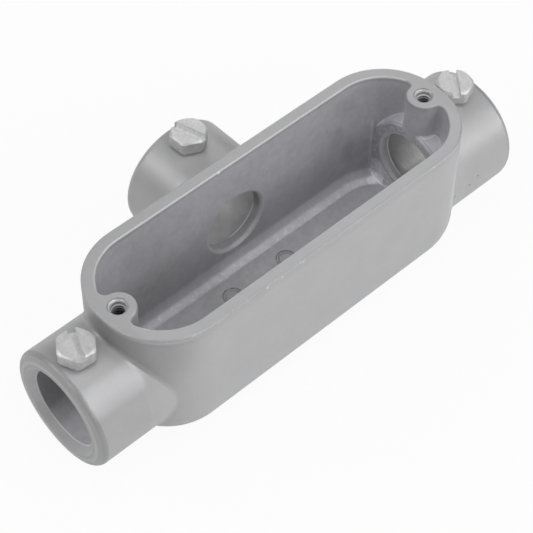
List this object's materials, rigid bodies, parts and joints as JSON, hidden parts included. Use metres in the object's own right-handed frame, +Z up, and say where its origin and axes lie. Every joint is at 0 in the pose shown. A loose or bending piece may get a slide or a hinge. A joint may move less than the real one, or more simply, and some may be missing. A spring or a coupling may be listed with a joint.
{
  "type": "t conduit body",
  "caption": "Cast T conduit body: an open oblong box with a set-screw socket for tube at each end and one on its side.",
  "frame": {"origin": "centre of the flat base, under the crossing of the run and the branch", "axes": "+X along the run, +Y along the branch towards its mouth, +Z up out of the open side of the box"},
  "size_m": [0.123, 0.0522, 0.0363],
  "materials": {
    "casting": "matte as-cast skin",
    "screw": "bright zinc plate"
  },
  "bodies": {
    "casting": {"body_casting": "casting"},
    "screw_left": {"set_screw_left": "screw"},
    "screw_right": {"set_screw_right": "screw"},
    "screw_branch": {"set_screw_branch": "screw"}
  },
  "joints": [
    {"name": "screw_left_travel", "type": "slide", "parent": "casting", "child": "screw_left", "axis": [0, 0, 1], "range_m": [-0.0006, 0.0029]},
    {"name": "screw_right_travel", "type": "slide", "parent": "casting", "child": "screw_right", "axis": [0, 0, 1], "range_m": [-0.0003, 0.0032]},
    {"name": "screw_branch_travel", "type": "slide", "parent": "casting", "child": "screw_branch", "axis": [0, 0, 1], "range_m": [-0.0003, 0.0032]}
  ]
}
